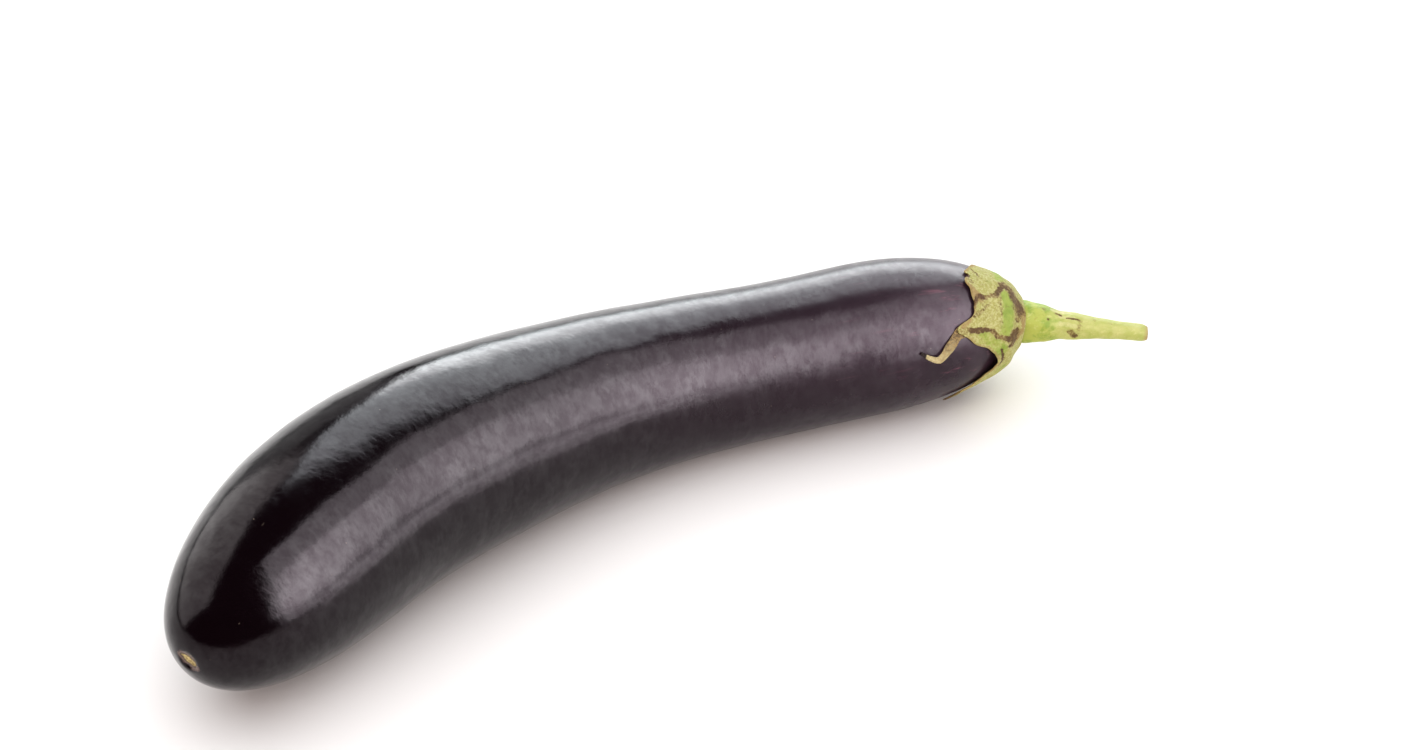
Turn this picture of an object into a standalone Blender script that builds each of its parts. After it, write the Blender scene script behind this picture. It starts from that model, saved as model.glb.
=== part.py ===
"""A long purple eggplant as picked, lying on its side: the fruit, its calyx and its stem.

The frame is in metres, +Z up. +X runs from the blossom end to the stem's cut end, and the
origin is under the middle of the whole object, on the surface that it lies on.

Run with: blender --background --python part.py
"""

import math

import bmesh
import bpy
import numpy as np

# The fruit. Its axis bends in plan only. A share is the distance along the axis from the blossom
# end, divided by the axis's length.
FRUIT_LENGTH = 0.263
AXIS_HEADINGS = (  # (share, degrees to the left of +X)
    (0.00, 24.2),
    (0.16, 28.0),
    (0.33, 11.7),
    (0.50, 3.7),
    (0.66, -9.6),
    (0.82, -12.4),
    (1.00, -32.7),
)
BODY_RADII = (  # (share, radius before the ends are rounded)
    (0.00, 0.0261),
    (0.20, 0.0271),
    (0.35, 0.0268),
    (0.50, 0.0240),
    (0.65, 0.0215),
    (0.80, 0.0208),
    (1.00, 0.0227),
)
BLOSSOM_END = (0.233, 2.19)  # share that the rounding takes, and the exponent of its superellipse
STEM_END = (0.182, 2.16)
NECK_DROPS_FROM = 0.80  # share past which the axis dips a little towards the surface
NECK_DROP = 0.0012
SCAR_RADIUS = 0.0022  # the corky spot that the flower left at the blossom end
SCAR_RIM = 0.0028
SCAR_DEPTH = 0.0006

# The calyx: a leathery cap over the stem end, with five pointed lobes.
GAP = 0.0003  # between pieces that touch
CALYX_THICKNESS = 0.0014
EDGE_THICKNESS = 0.0008
NOTCH_REACH = 0.0085  # how far the cap reaches back along the axis, between the lobes
LOBE_SHARPNESS = 1.3
LOBES = (  # (degrees round the axis from the top towards -Y, reach of the tip, half-width in degrees)
    (6, 0.0180, 42),
    (62, 0.0260, 34),
    (124, 0.0235, 30),
    (204, 0.0215, 40),
    (286, 0.0200, 40),
)
BOSS_RADIUS = 0.0063  # the raised seat that the stem grows from
BOSS_HEIGHT = 0.0017
BOSS_FOOT = 0.0022  # how far back from the fruit's end the seat meets the shoulder

# The stem: it leaves along the fruit's axis and droops a little to its cut end.
STEM_LENGTH = 0.0330
STEM_TURN = 3.0  # degrees of heading from its base to its cut end
STEM_DROOP = -12.0  # degrees of pitch at its cut end
STEM_RADII = (
    (0.00, 0.0061),
    (0.12, 0.0053),
    (0.22, 0.0045),
    (0.31, 0.0038),
    (0.40, 0.0037),
    (0.55, 0.0032),
    (0.75, 0.0027),
    (1.00, 0.0022),
)
CUT_BEVEL = 0.0005
STEM_RIBS = 5
RIB_HEIGHT = 0.0003

# How fine the solids are
FRUIT_AROUND = 32
BODY_RINGS = 34
END_RINGS = 11
CALYX_AROUND = 60
CALYX_ROWS = 9
ROWS_UNDER_BOSS = 5
STEM_AROUND = 20
STEM_RINGS = 16
AXIS_STEPS = 800
NEARLY_ONE = 0.9995

# Two faces of the fruit's ring, side by side at the bottom, are the flat spot that it rests on.
REST_ANGLE = 2 * math.pi / FRUIT_AROUND


def spline(stations, at):
    """The natural cubic spline through (position, value) stations, at these positions."""
    knots, values = np.array(stations, float).T
    last = len(knots) - 1
    width = np.diff(knots)
    slope = np.diff(values) / width
    system = np.eye(last + 1)
    wanted = np.zeros(last + 1)
    for i in range(1, last):
        system[i, i - 1 : i + 2] = width[i - 1], 2 * (width[i - 1] + width[i]), width[i]
        wanted[i] = 6 * (slope[i] - slope[i - 1])
    bend = np.linalg.solve(system, wanted)
    i = np.clip(np.searchsorted(knots, at) - 1, 0, last - 1)
    before, after = at - knots[i], knots[i + 1] - at
    curved = (bend[i] * after**3 + bend[i + 1] * before**3) / (6 * width[i])
    from_left = (values[i] / width[i] - bend[i] * width[i] / 6) * after
    from_right = (values[i + 1] / width[i] - bend[i + 1] * width[i] / 6) * before
    return curved + from_left + from_right


def body_radius(share):
    return spline(BODY_RADII, np.asarray(share, float))


def fruit_radius(share):
    """The radius with both ends rounded off as superellipses."""
    share = np.asarray(share, float)
    rounded = body_radius(share)
    for (taken, power), to_end in ((BLOSSOM_END, share), (STEM_END, 1 - share)):
        inwards = np.clip(1 - to_end / taken, 0, 1)
        rounded = rounded * (1 - inwards**power) ** (1 / power)
    return rounded


def axis_table():
    """Shares with the axis's x, y, z and heading at each, starting at x = y = 0."""
    share = np.linspace(0, 1, AXIS_STEPS + 1)
    heading = np.radians(spline(AXIS_HEADINGS, share))
    middle = (heading[1:] + heading[:-1]) / 2
    step = FRUIT_LENGTH / AXIS_STEPS
    x = np.concatenate([[0], np.cumsum(np.cos(middle)) * step])
    y = np.concatenate([[0], np.cumsum(np.sin(middle)) * step])
    dip = np.clip((share - NECK_DROPS_FROM) / (1 - NECK_DROPS_FROM), 0, 1) ** 2
    z = body_radius(share) * math.cos(REST_ANGLE) - NECK_DROP * dip
    return share, x, y, z, heading


AXIS = axis_table()


def axis_at(share):
    """The point of the axis at a share, its direction, and the direction to its left, all in plan."""
    x, y, z, heading = (np.interp(share, AXIS[0], column) for column in AXIS[1:])
    ahead = np.array([math.cos(heading), math.sin(heading), 0.0])
    left = np.array([-math.sin(heading), math.cos(heading), 0.0])
    return np.array([x, y, z]), ahead, left


def skin_point(share, angle, out=0.0):
    """A point of the fruit's surface, moved out of it. The angle is from the bottom towards -Y."""
    centre, ahead, left = axis_at(share)
    near = 1e-4
    low, high = max(share - near, 0), min(share + near, 1)
    slope = float(fruit_radius(high) - fruit_radius(low)) / ((high - low) * FRUIT_LENGTH)
    length = math.hypot(slope, 1)
    radial = float(fruit_radius(share)) + out / length
    outward = -math.sin(angle) * left - math.cos(angle) * np.array([0, 0, 1])
    return centre - ahead * out * slope / length + outward * radial


def link_mesh(name, shape, material):
    """Makes a named object of a bmesh, shaded smooth except at real edges."""
    bmesh.ops.recalc_face_normals(shape, faces=shape.faces)
    mesh = bpy.data.meshes.new(name)
    shape.to_mesh(mesh)
    shape.free()
    mesh.materials.append(material)
    mesh.shade_smooth()
    mesh.set_sharp_from_angle(angle=math.radians(50))
    made = bpy.data.objects.new(name, mesh)
    bpy.context.scene.collection.objects.link(made)
    return made


def bridge(shape, ring, following):
    """Quads between two rings of the same number of vertices."""
    count = len(ring)
    for i in range(count):
        after = (i + 1) % count
        shape.faces.new((ring[i], ring[after], following[after], following[i]))


def close_with_fan(shape, ring, centre):
    """Triangles from a ring to one vertex in its middle."""
    for i in range(len(ring)):
        shape.faces.new((ring[i], ring[(i + 1) % len(ring)], centre))


def principled(name, colour, roughness):
    """A plain dielectric Principled material."""
    material = bpy.data.materials.new(name)
    material.use_nodes = True
    shader = material.node_tree.nodes["Principled BSDF"]
    shader.inputs["Base Color"].default_value = (*colour, 1.0)
    shader.inputs["Roughness"].default_value = roughness
    shader.inputs["Metallic"].default_value = 0.0
    return material


def ring_shares():
    """Where the fruit's rings stand: close together where the ends round off."""
    turn = np.linspace(0, math.pi / 2, END_RINGS + 1)
    blossom = BLOSSOM_END[0] * (1 - np.cos(turn))[1:]
    stem = 1 - STEM_END[0] * (1 - np.cos(turn))[1:]
    body = np.linspace(BLOSSOM_END[0], 1 - STEM_END[0], BODY_RINGS)[1:-1]
    return np.concatenate([blossom, body, stem[::-1]])


def make_fruit():
    """The fruit: one closed skin, with a corky scar sunk into the blossom end."""
    shape = bmesh.new()
    angles = [2 * math.pi * i / FRUIT_AROUND for i in range(FRUIT_AROUND)]
    rings = []
    for share in ring_shares():
        ring = []
        for angle in angles:
            point = skin_point(share, angle)
            on_surface = point[2] < 1e-6
            ring.append(shape.verts.new((point[0], point[1], 0.0 if on_surface else point[2])))
        rings.append(ring)
    tip, ahead, left = axis_at(0.0)
    up = np.array([0, 0, 1])
    scar_rings = []
    for radius, sunk in ((SCAR_RIM, 0.0), (SCAR_RADIUS, SCAR_DEPTH)):
        scar_rings.append(
            [
                shape.verts.new(
                    tip + ahead * sunk - radius * (math.sin(a) * left + math.cos(a) * up)
                )
                for a in angles
            ]
        )
    scar_middle = shape.verts.new(tip + ahead * SCAR_DEPTH)
    stem_tip = shape.verts.new(axis_at(1.0)[0])
    close_with_fan(shape, scar_rings[1], scar_middle)
    bridge(shape, scar_rings[1], scar_rings[0])
    for ring, following in zip([scar_rings[0], *rings], rings):
        bridge(shape, ring, following)
    close_with_fan(shape, rings[-1], stem_tip)
    return link_mesh("fruit", shape, principled("purple_skin", (0.020, 0.008, 0.018), 0.22))


def calyx_reach(angle):
    """How far back from the stem end the calyx reaches, at degrees from the top towards -Y."""
    reach = NOTCH_REACH
    for centre, tip, half_width in LOBES:
        off = abs((angle - centre + 180) % 360 - 180) / half_width
        if off < 1:
            reach = max(reach, NOTCH_REACH + (tip - NOTCH_REACH) * (1 - off) ** LOBE_SHARPNESS)
    return reach


def calyx_point(from_tip, angle, out):
    """A point that far back from the fruit's stem end, and that far out of its skin."""
    share = min(1 - from_tip / FRUIT_LENGTH, NEARLY_ONE)
    return skin_point(share, angle, out)


def make_calyx():
    """The calyx: two skins over the fruit's shoulder, joined along the lobes' edge."""
    shape = bmesh.new()
    end, ahead, left = axis_at(1.0)
    up = np.array([0, 0, 1])
    angles = [2 * math.pi * i / CALYX_AROUND for i in range(CALYX_AROUND)]
    outer, inner = [], []
    for row in range(1, ROWS_UNDER_BOSS):
        back = BOSS_FOOT * (row / ROWS_UNDER_BOSS) ** 2
        inner.append([shape.verts.new(calyx_point(back, angle, GAP)) for angle in angles])
    for row in range(CALYX_ROWS):
        down = (row / (CALYX_ROWS - 1)) ** 1.2
        outer_ring, inner_ring = [], []
        for angle in angles:
            from_top = 180 - math.degrees(angle)
            back = BOSS_FOOT + (calyx_reach(from_top) - BOSS_FOOT) * down
            thick = CALYX_THICKNESS + (EDGE_THICKNESS - CALYX_THICKNESS) * down
            outer_ring.append(shape.verts.new(calyx_point(back, angle, GAP + thick)))
            inner_ring.append(shape.verts.new(calyx_point(back, angle, GAP)))
        outer.append(outer_ring)
        inner.append(inner_ring)
    boss = [
        shape.verts.new(
            end + ahead * BOSS_HEIGHT - BOSS_RADIUS * (math.sin(a) * left + math.cos(a) * up)
        )
        for a in angles
    ]
    boss_middle = shape.verts.new(end + ahead * BOSS_HEIGHT)
    inner_middle = shape.verts.new(end + ahead * GAP)
    close_with_fan(shape, boss, boss_middle)
    close_with_fan(shape, inner[0], inner_middle)
    bridge(shape, boss, outer[0])
    for rows in (outer, inner):
        for ring, following in zip(rows, rows[1:]):
            bridge(shape, ring, following)
    bridge(shape, outer[-1], inner[-1])
    return link_mesh("calyx", shape, principled("calyx_green", (0.42, 0.50, 0.14), 0.55))


def stem_frame(share):
    """The point of the stem's own axis at a share of its length, and three directions."""
    end, _, _ = axis_at(1.0)
    base_heading = AXIS_HEADINGS[-1][1]
    start = end + direction_of(base_heading, 0) * (BOSS_HEIGHT + GAP)
    steps = 40
    place = start.copy()
    for i in range(steps):
        middle = share * (i + 0.5) / steps
        heading = base_heading + STEM_TURN * middle
        place = place + direction_of(heading, STEM_DROOP * middle) * STEM_LENGTH * share / steps
    heading = base_heading + STEM_TURN * share
    ahead = direction_of(heading, STEM_DROOP * share)
    left = direction_of(heading + 90, 0)
    return place, ahead, left, np.cross(ahead, left)


def direction_of(heading, pitch):
    """A unit vector from degrees of heading and pitch."""
    h, p = math.radians(heading), math.radians(pitch)
    return np.array([math.cos(p) * math.cos(h), math.cos(p) * math.sin(h), math.sin(p)])


def make_stem():
    """The stem: a ribbed, tapering stalk with a square cut."""
    shape = bmesh.new()
    rings = []
    shares = list(np.linspace(0, 1 - CUT_BEVEL / STEM_LENGTH, STEM_RINGS)) + [1.0]
    for share in shares:
        place, _, left, up = stem_frame(share)
        radius = float(spline(STEM_RADII, np.array(share)))
        radius -= CUT_BEVEL if share == 1.0 else 0
        rib = RIB_HEIGHT * (1 - share)
        ring = []
        for i in range(STEM_AROUND):
            angle = 2 * math.pi * i / STEM_AROUND
            out = radius - rib + rib * math.cos(STEM_RIBS * angle)
            ring.append(shape.verts.new(place + out * (math.cos(angle) * up + math.sin(angle) * left)))
        rings.append(ring)
    base = shape.verts.new(stem_frame(0.0)[0])
    cut = shape.verts.new(stem_frame(1.0)[0])
    close_with_fan(shape, rings[0], base)
    close_with_fan(shape, rings[-1], cut)
    for ring, following in zip(rings, rings[1:]):
        bridge(shape, ring, following)
    return link_mesh("stem", shape, principled("stem_green", (0.40, 0.48, 0.14), 0.5))


def stand_over_origin(pieces):
    """Moves the pieces together until the middle of their common box is over the origin."""
    corners = np.array([v.co for piece in pieces for v in piece.data.vertices])
    middle = (corners.min(axis=0) + corners.max(axis=0)) / 2
    for piece in pieces:
        piece.location = (-middle[0], -middle[1], 0.0)


def main():
    for old in list(bpy.data.objects):
        bpy.data.objects.remove(old)
    stand_over_origin([make_fruit(), make_calyx(), make_stem()])


main()
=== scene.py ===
# %% [markdown]
# # A long purple eggplant
#
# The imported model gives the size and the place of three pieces: the fruit, the calyx and the stem.
# This lesson makes each one again as it looks, in the same place, and gives it its finish. The
# cells print what they made or measured.

import math

import bpy
import numpy as np
from mathutils import Matrix, Vector, noise
from mathutils.bvhtree import BVHTree
from mathutils.kdtree import KDTree


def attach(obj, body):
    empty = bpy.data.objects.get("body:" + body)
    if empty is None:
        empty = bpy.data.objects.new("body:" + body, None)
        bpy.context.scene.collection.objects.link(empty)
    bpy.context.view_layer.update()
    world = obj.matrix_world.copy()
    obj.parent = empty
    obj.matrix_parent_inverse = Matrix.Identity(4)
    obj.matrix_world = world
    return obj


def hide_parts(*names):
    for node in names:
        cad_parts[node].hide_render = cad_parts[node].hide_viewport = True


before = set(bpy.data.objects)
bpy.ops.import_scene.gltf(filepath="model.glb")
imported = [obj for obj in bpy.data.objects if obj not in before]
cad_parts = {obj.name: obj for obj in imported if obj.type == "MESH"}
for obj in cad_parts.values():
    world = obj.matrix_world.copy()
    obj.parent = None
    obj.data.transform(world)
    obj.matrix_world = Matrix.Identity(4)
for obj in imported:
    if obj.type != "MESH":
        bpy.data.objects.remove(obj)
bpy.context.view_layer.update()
MM = 0.001
UP = Vector((0, 0, 1))

# %% [markdown]
# ## Two flat faces that give directions
#
# The fruit is bent, so nothing on it lines up with X. But the solid calyx has one flat face, the seat
# that the stem grows from, and the solid fruit has a small flat scar at the other end. They say where
# the plant's axis starts and ends, and which way it points. To find a flat face in a mesh of
# triangles, look only near that end of the solid, add up the area of the triangles that share a
# normal, and keep the largest sum.

# %% Find the seat of the stem and the scar of the flower
NEAR_END = 0.004  # a face further than this from the solid's end isn't looked at
FACING = 0.5  # nor is one that is turned more than 60 degrees away


def flat_face(solid, towards):
    """The middle and the normal of the largest flat face at the end that lies towards."""
    end = max(v.co.dot(towards) for v in solid.data.vertices)
    sums = {}
    for face in solid.data.polygons:
        if face.normal.dot(towards) < FACING or face.center.dot(towards) < end - NEAR_END:
            continue
        key = tuple(round(x, 2) for x in face.normal)
        area, middle, normal = sums.get(key, (0.0, Vector(), Vector()))
        area, middle = area + face.area, middle + face.center * face.area
        sums[key] = (area, middle, normal + face.normal * face.area)
    area, middle, normal = max(sums.values(), key=lambda found: found[0])
    return middle / area, normal.normalized()


fruit_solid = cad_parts["fruit"]
seat, seat_out = flat_face(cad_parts["calyx"], Vector((1, 0, 0)))
scar, scar_out = flat_face(fruit_solid, Vector((-1, 0, 0)))
print("seat of the stem:", [round(x, 4) for x in seat], "pointing", [round(x, 2) for x in seat_out])
print("scar of the flower:", [round(x, 4) for x in scar], "pointing", [round(x, 2) for x in scar_out])

# %% [markdown]
# ## The axis of the fruit
#
# Wrinkles, streaks and lobes all follow the length of the fruit. Its axis can be measured: the solid
# is cut into slices across X, and the middle of each slice is near the axis. Near the two ends a slice
# is too slanted to trust, so there the flat faces give the points. One smooth polynomial through all
# the points is steadier than the points themselves.

# %% Measure the axis
END_PART = 0.030  # how much of each end the flat faces describe
SLICES = 26
BEHIND_ENDS = (0.0, 0.004, 0.008)  # the guide points that each flat face gives


def slice_middles(solid, first, last, count):
    """The middle of the solid's points in each of several slices across X."""
    points = [v.co for v in solid.data.vertices]
    half = (last - first) / count
    middles = []
    for i in range(count):
        x = first + (last - first) * (i + 0.5) / count
        near = [p for p in points if abs(p.x - x) < half]
        sides = [p.y for p in near]
        heights = [p.z for p in near]
        middles.append(Vector((x, (min(sides) + max(sides)) / 2, (min(heights) + max(heights)) / 2)))
    return middles


axis_guides = slice_middles(fruit_solid, scar.x + END_PART, seat.x - END_PART, SLICES)
for back in BEHIND_ENDS:
    axis_guides.insert(0, scar - scar_out * back)
    axis_guides.append(seat - seat_out * back)
print(len(axis_guides), "points guide the axis")

# %% Draw one smooth curve through the guides
SMOOTHNESS = 7  # the polynomial's degree
AXIS_POINTS = 400
OVERHANG = 0.004  # the axis is carried on a little past both ends

guide_x, guide_y, guide_z = np.array([list(p) for p in axis_guides]).T
axis_x = np.linspace(scar.x - OVERHANG, seat.x + OVERHANG, AXIS_POINTS)
axis_y = np.polyval(np.polyfit(guide_x, guide_y, SMOOTHNESS), axis_x)
axis_z = np.polyval(np.polyfit(guide_x, guide_z, SMOOTHNESS), axis_x)
axis = [Vector(p) for p in zip(axis_x, axis_y, axis_z)]
travelled = [0.0]
for here, following in zip(axis, axis[1:]):
    travelled.append(travelled[-1] + (following - here).length)
axis_tree = KDTree(len(axis))
for i, point in enumerate(axis):
    axis_tree.insert(point, i)
axis_tree.balance()
FRUIT_LENGTH = travelled[-1]
print("the axis is", round(FRUIT_LENGTH / MM, 1), "mm long")


def unbent(point):
    """Where a point would be if the fruit were straight: along it, to its left, and up."""
    _, i, _ = axis_tree.find(point)
    i = min(max(i, 1), len(axis) - 2)
    ahead = (axis[i + 1] - axis[i - 1]).normalized()
    left = UP.cross(ahead).normalized()
    off = point - axis[i]
    return Vector((travelled[i] + off.dot(ahead), off.dot(left), off.dot(ahead.cross(left))))


# %% [markdown]
# ## Small helpers for modelling
#
# Blender's operators work on what is selected, in the mode that it is in, just as they do by hand.
# These helpers keep that straight, and two more give noise and eased values.

# %% Helpers for selecting, editing and finishing


def only(piece):
    """Makes the piece the active and only selected object."""
    bpy.ops.object.select_all(action="DESELECT")
    bpy.context.view_layer.objects.active = piece
    piece.select_set(True)


def open_mesh(piece, select="DESELECT"):
    only(piece)
    bpy.ops.object.mode_set(mode="EDIT")
    bpy.ops.mesh.select_all(action=select)


def close_mesh():
    bpy.ops.object.mode_set(mode="OBJECT")


def finish_with(piece, kind, **settings):
    """Adds a modifier with these settings and applies it."""
    modifier = piece.modifiers.new(kind.title(), kind)
    for name, value in settings.items():
        setattr(modifier, name, value)
    only(piece)
    bpy.ops.object.modifier_apply(modifier=modifier.name)


def subdivide(piece):
    finish_with(piece, "SUBSURF", levels=2, render_levels=2)


def face_outwards(piece):
    open_mesh(piece, "SELECT")
    bpy.ops.mesh.normals_make_consistent(inside=False)
    close_mesh()


def smooth(piece):
    only(piece)
    bpy.ops.object.shade_smooth()


def store(piece, name, values):
    """Keeps one vector for each point of the mesh, for the materials to read."""
    attribute = piece.data.attributes.new(name, "FLOAT_VECTOR", "POINT")
    attribute.data.foreach_set("vector", [x for value in values for x in value])


def ripple(place, size, seed=0.0):
    """Smooth noise from -1 to 1 whose bumps are about this size."""
    return noise.noise(place / size + Vector((seed, 2 * seed, 3 * seed)))


def grown(share, stations):
    """The value at a share, read from given stations and eased between them."""
    for (s0, v0), (s1, v1) in zip(stations, stations[1:]):
        if share <= s1:
            t = min(max((share - s0) / (s1 - s0), 0), 1)
            return v0 + (v1 - v0) * t * t * (3 - 2 * t)
    return stations[-1][1]


print("eased half-way from 0 to 1:", grown(0.5, ((0, 0), (1, 1))))

# %% [markdown]
# ## The skin of the fruit
#
# The solid already has the right shape, in flat faces. Its mesh is loose triangles, so a copy is
# merged and turned back into quads, and a Subdivision Surface rounds it. Modelling from a cylinder
# would work too, but would have to find the bend again.

# %% Make a smooth skin from the solid
MERGE = 0.00001
FLAT_ENOUGH = math.radians(50)  # two triangles that meet flatter than this may become a quad
SQUARE_ENOUGH = math.radians(60)


def merged_copy(solid, name):
    """A copy of a solid's mesh in one piece, in quads where it can be."""
    piece = bpy.data.objects.new(name, solid.data.copy())
    bpy.context.scene.collection.objects.link(piece)
    piece.data.materials.clear()
    open_mesh(piece, "SELECT")
    bpy.ops.mesh.remove_doubles(threshold=MERGE)
    bpy.ops.mesh.tris_convert_to_quads(face_threshold=FLAT_ENOUGH, shape_threshold=SQUARE_ENOUGH)
    close_mesh()
    return piece


skin = merged_copy(fruit_solid, "skin")
subdivide(skin)
print("skin:", len(skin.data.polygons), "faces")

# %% [markdown]
# ## Swellings and the flower's scar
#
# A grown thing is never quite even: it swells and dips a little every centimetre or two, mostly along
# its length, and that makes the edge of a reflection wander. Where the flower fell off, a small corky
# oval is drawn in. By hand this would be sculpting; in code a smooth noise does it, read at the place
# that each point would have on a straight fruit. The skin keeps that place for its material.

# %% Swell the skin and press in the scar
SWELL = 0.00032  # how far the skin swells and dips
PUCKER = 0.00003  # and how far it does so over a few millimetres
DIMPLE = 0.00045  # how far it is drawn in around the flower's scar
DIMPLE_RADIUS = 0.006
SCAR_RADIUS = 0.0024  # half its length
SCAR_NARROW = 0.60  # its width, as a share of its length
SCAR_GRAIN = 0.00016


def from_scar_middle(point):
    """How far a point is from the middle of the scar, which is an oval: 1 on its rim."""
    off = point - scar
    lengthwise = (UP.cross(scar_out) - UP * 0.5).normalized()
    narrow = scar_out.cross(lengthwise)
    sides = Vector((off.dot(lengthwise), off.dot(narrow) / SCAR_NARROW, off.dot(scar_out)))
    return sides.length / SCAR_RADIUS


def swelling(place):
    """How far the skin stands out at a place on the straightened fruit, from -1 to 1."""
    lengthwise = Vector((place.x * 0.45, place.y, place.z))
    long_swell = 0.65 * ripple(lengthwise, 0.016, 3) + 0.35 * ripple(place, 0.011, 7)
    return long_swell + ripple(place, 0.0048, 9) * PUCKER / SWELL


straight = [unbent(v.co) for v in skin.data.vertices]
normals = [v.normal.copy() for v in skin.data.vertices]
for vertex, place, out in zip(skin.data.vertices, straight, normals):
    drawn_in = DIMPLE * math.exp(-(((vertex.co - scar).length / DIMPLE_RADIUS) ** 2))
    grain = SCAR_GRAIN * ripple(place, 0.0005, 5) if from_scar_middle(vertex.co) < 1 else 0.0
    lifted = vertex.co + out * (SWELL * swelling(place) + grain) - scar_out * drawn_in
    vertex.co = Vector((lifted.x, lifted.y, max(lifted.z, 0.0)))
store(skin, "straight", straight)
store(skin, "scar", [Vector((from_scar_middle(v.co), 0, 0)) for v in skin.data.vertices])
smooth(skin)
print("the skin is at most", round(max(v.co.z for v in skin.data.vertices) / MM, 1), "mm high")

# %% [markdown]
# ## Laying things on the skin
#
# The calyx grew against the fruit, so its shape is the skin's, a little further out. A tree of the
# skin's faces answers one question quickly: from a point on the seat's own straight axis, looking
# outwards, where is the skin? Then a place on the calyx needs only two numbers: how far back from the
# seat, and how far round from the top towards the -Y side.

# %% A way to name places on the fruit's shoulder
skin_tree = BVHTree.FromPolygons(
    [v.co for v in skin.data.vertices], [list(f.vertices) for f in skin.data.polygons]
)
seat_side = UP.cross(seat_out).normalized()
LOOKS = 4  # each look corrects the one before, until the place is exactly that far back


def outwards(turn):
    """The direction out from the seat's axis, at degrees from the top towards the -Y side."""
    angle = math.radians(turn)
    return UP * math.cos(angle) - seat_side * math.sin(angle)


def on_skin(back, turn, out):
    """A point this far off the skin, and this far back from the seat."""
    look_back = back
    for _ in range(LOOKS):
        hit, normal, _, _ = skin_tree.ray_cast(seat - seat_out * look_back, outwards(turn))
        if normal.dot(outwards(turn)) < 0:
            normal = -normal
        place = hit + normal * out
        look_back += back + (place - seat).dot(seat_out)
    return place


def where(point):
    """The reverse: the turn in degrees and the distance back of a point near the shoulder."""
    off = point - seat
    back = -off.dot(seat_out)
    across = off + seat_out * back
    return math.degrees(math.atan2(-across.dot(seat_side), across.dot(UP))), back


print("skin 10 mm behind the seat is", round((on_skin(0.010, 0, 0) - seat).length / MM, 1), "mm from it")

# %% [markdown]
# ## The calyx
#
# The calyx is the green star that held the flower. It stays on the fruit as a leathery cap with five
# lobes. It is a circle on the seat whose edge is extruded ring by ring, like a skirt, and the edge of
# the skirt is given by a few points: how far back it reaches at each turn. Its rings are then laid on
# the skin, and Solidify makes it thick.

# %% The calyx's outline: turn in degrees, reach in mm behind the seat
CALYX_EDGE = (
    (-34, 8.8), (-24, 11.0), (-14, 13.8), (-9, 15.2), (1, 16.9), (7.5, 17.7), (9.8, 16.4),
    (12.5, 16.2), (14.5, 17.1), (18, 17.7), (21.5, 17.2), (25, 16.3), (31, 15.5), (37, 15.2),
    (39, 14.5), (41, 14.9), (46, 14.8), (49, 15.0), (52, 15.9), (55, 17.2), (58, 18.8), (61, 19.8),
    (63.5, 19.0), (65, 17.0), (68.5, 15.4), (72.5, 14.0), (75, 12.7), (78, 10.8), (85, 8.7),
    (92, 7.6), (98, 7.7), (103, 9.2), (108.5, 11.0), (115, 12.9), (120, 15.0), (124, 18.5),
    (127, 22.4), (129, 23.0), (132, 20.5), (137, 16.8), (145, 12.8), (154, 10.0), (163, 8.8),
    (176, 10.6), (188, 14.5), (196, 18.5), (203, 21.3), (209, 18.8), (219, 14.0), (231, 10.4),
    (243, 8.8), (256, 10.6), (268, 14.8), (279, 19.3), (285, 19.8), (293, 16.5), (305, 12.0),
    (316, 9.4), (326, 8.8),
)
LOBE_MIDDLES = (10, 60, 127, 203, 283)


def reach_at(turn):
    """How far back the calyx reaches at this turn in mm, with a ragged edge."""
    first = CALYX_EDGE[0][0]
    turn = (turn - first) % 360 + first
    for (t0, r0), (t1, r1) in zip(CALYX_EDGE, CALYX_EDGE[1:]):
        if turn <= t1:
            reach = r0 + (r1 - r0) * (turn - t0) / (t1 - t0)
            break
    round_edge = outwards(turn)
    return reach + 0.30 * ripple(round_edge, 0.07, 1) + 0.25 * ripple(round_edge, 0.025, 2)


print("the lobes reach", [round(reach_at(middle), 1) for middle in LOBE_MIDDLES], "mm back")

# %% Rings of the collar, and rows of the leaf
COLLAR = (  # the rings near the stem: radius and distance behind the seat, in mm
    (5.70, 0.9), (6.15, 0.1), (6.75, 0.5), (7.55, 1.35), (8.50, 2.2), (9.55, 3.1),
)
COLLAR_FRONT = 48  # the turn at which the collar stands furthest forward
COLLAR_SLANT = 1.35  # how many mm further back it is on the other side
SHOULDER_BACK = 3.9  # where the leaf comes down on the skin, in mm behind the seat
LEAF_HEIGHTS = ((3.9, 2.05), (7.0, 1.55), (11.5, 0.75), (25, 0.6))  # mm back, mm off the skin
MIDRIB = 0.30  # how far the middle of each lobe stands up, in mm
CURL = 0.40  # how far the edge lifts, in mm


def near_turn(turn, middle, width):
    """1 at the middle turn, falling softly to 0 over the width in degrees."""
    off = (turn - middle + 180) % 360 - 180
    return math.exp(-((off / width) ** 2))


def collar_point(row, turn):
    """The rings that rise from the shoulder and hug the stem."""
    radius, back = COLLAR[row]
    hang_back = COLLAR_SLANT * (1 - near_turn(turn, COLLAR_FRONT, 55)) * (1 - row / len(COLLAR))
    bumpy = 1 + 0.03 * ripple(outwards(turn), 0.3, 4) + 0.012 * ripple(outwards(turn), 0.09, 5)
    return seat - seat_out * (back + hang_back) * MM + outwards(turn) * radius * bumpy * MM


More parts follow.
